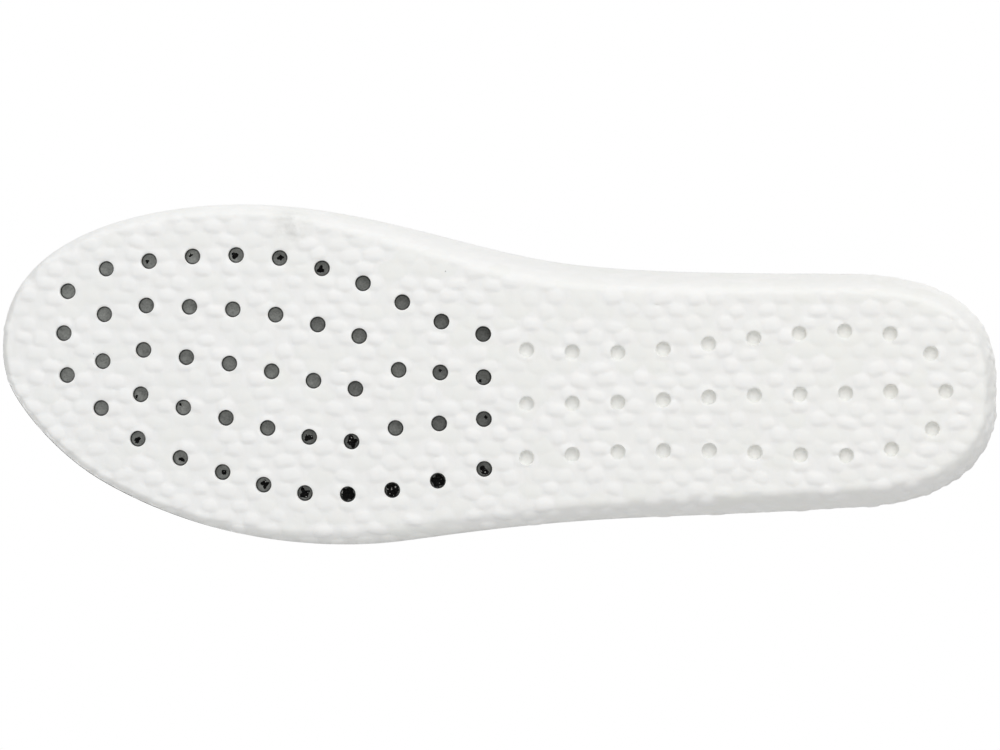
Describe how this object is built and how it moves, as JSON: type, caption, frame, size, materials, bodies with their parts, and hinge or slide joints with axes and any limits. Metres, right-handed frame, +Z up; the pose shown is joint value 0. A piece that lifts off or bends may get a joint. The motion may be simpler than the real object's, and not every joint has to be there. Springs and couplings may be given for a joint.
{
  "type": "cushioned insole",
  "caption": "Removable shoe insole for a right foot: white bead-foam base with a heel cup and arch, perforated forefoot, blind heel pockets, hot-melt film and black knitted cover.",
  "frame": {"origin": "on the plane that the sole rests on, under the middle of the insole's box", "axes": "+X towards the toe, +Y towards the inner (arch) side of the foot, +Z up towards the foot"},
  "size_m": [0.2749, 0.094, 0.0185],
  "materials": {
    "bead_foam": "matt, soft fused beads",
    "hot_melt_film": "satin, thin film",
    "knit_cover": "matt knitted cloth"
  },
  "bodies": {
    "root": {"foam_base": "bead_foam", "adhesive_film": "hot_melt_film", "top_cloth": "knit_cover"}
  },
  "joints": []
}
